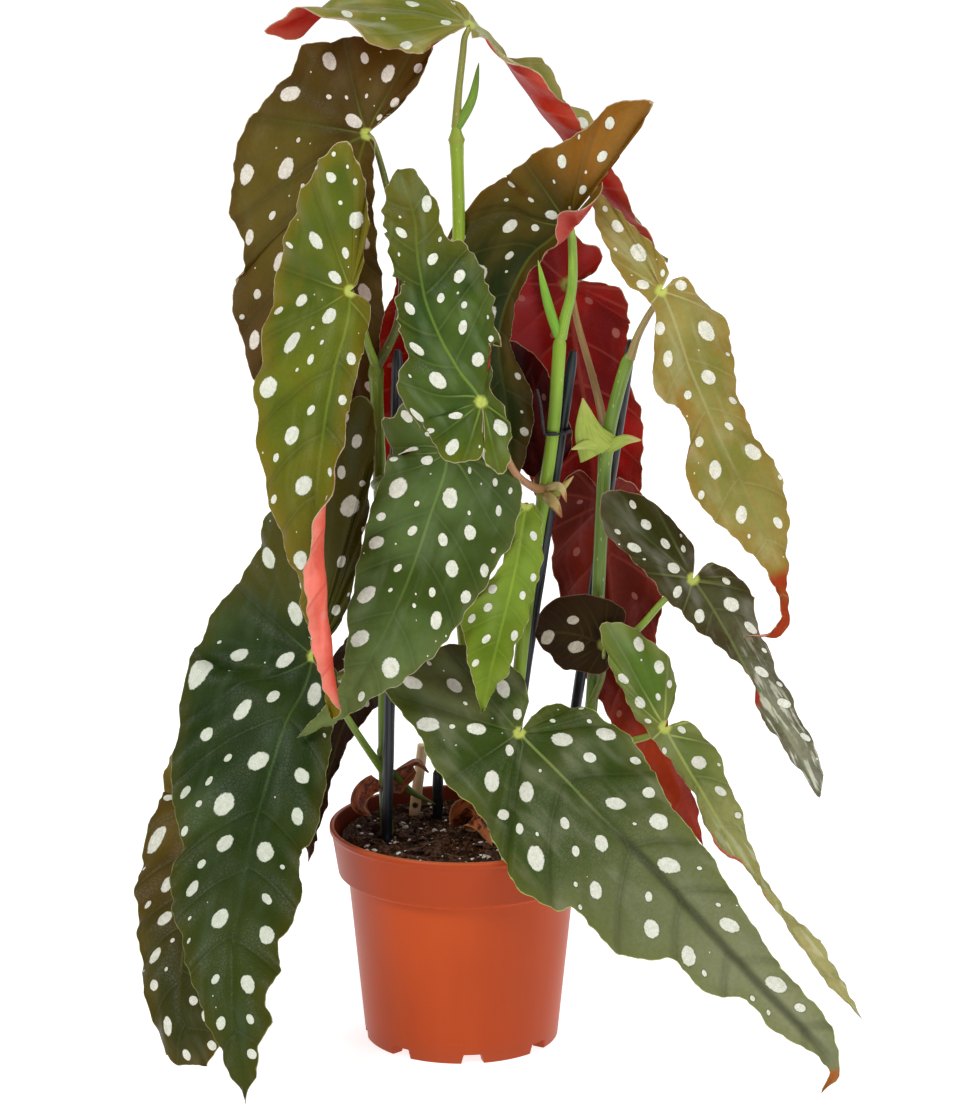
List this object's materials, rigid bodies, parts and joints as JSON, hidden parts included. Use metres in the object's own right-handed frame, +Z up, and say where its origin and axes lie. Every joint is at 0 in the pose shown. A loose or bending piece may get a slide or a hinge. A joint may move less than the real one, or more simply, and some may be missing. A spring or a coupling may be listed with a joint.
{
  "type": "potted polka dot begonia",
  "caption": "Cane begonia with big lobed leaves, white dots and red undersides, staked upright in a small round terracotta-coloured plastic pot of soil.",
  "frame": {"origin": "centre of the flat pad under the pot", "axes": "+Z up from the pot's underside, -Y towards the viewer of the picture, +X to the viewer's right"},
  "size_m": [0.326, 0.1984, 0.4807],
  "materials": {
    "pot": "satin terracotta",
    "soil": "rough dark potting soil",
    "cane": "smooth green cane with ringed scars",
    "cane_brown": "olive brown cane",
    "leaf": "glossy green leaf with white dots, red underneath",
    "leaf_olive": "glossy olive and bronze leaf with white dots, red underneath",
    "leaf_red": "leaf that shows its glossy dark red underside",
    "stake": "black plant stake",
    "tie": "thin black tie",
    "stick": "bare pale wood",
    "dry": "dry papery brown"
  },
  "bodies": {
    "root": {"pot": "pot", "soil": "soil", "cane_left": "cane", "cane_middle": "cane", "cane_right": "cane", "cane_top": "cane_brown", "stake_left": "stake", "stake_middle": "stake", "stake_right": "stake", "stake_back": "stake", "stake_tie": "tie", "wood_stick": "stick", "leaf_crown": "leaf_olive", "leaf_bronze": "leaf_olive", "leaf_left_brown": "leaf_olive", "leaf_left_olive": "leaf_olive", "leaf_centre_crinkled": "leaf", "leaf_centre_green": "leaf", "leaf_lime": "leaf", "leaf_front_right": "leaf", "leaf_low_left": "leaf", "leaf_far_left": "leaf", "leaf_back_brown": "leaf", "leaf_back_left": "leaf_red", "leaf_back_red": "leaf_red", "leaf_back_maroon": "leaf_red", "leaf_right_purple": "leaf_red", "leaf_right_dark": "leaf", "leaf_right_low": "leaf", "leaf_right_tan": "leaf_olive", "leaf_dark_stub": "leaf", "dry_leaf": "dry", "dry_sheath": "dry", "dry_curl": "dry"}
  },
  "joints": []
}
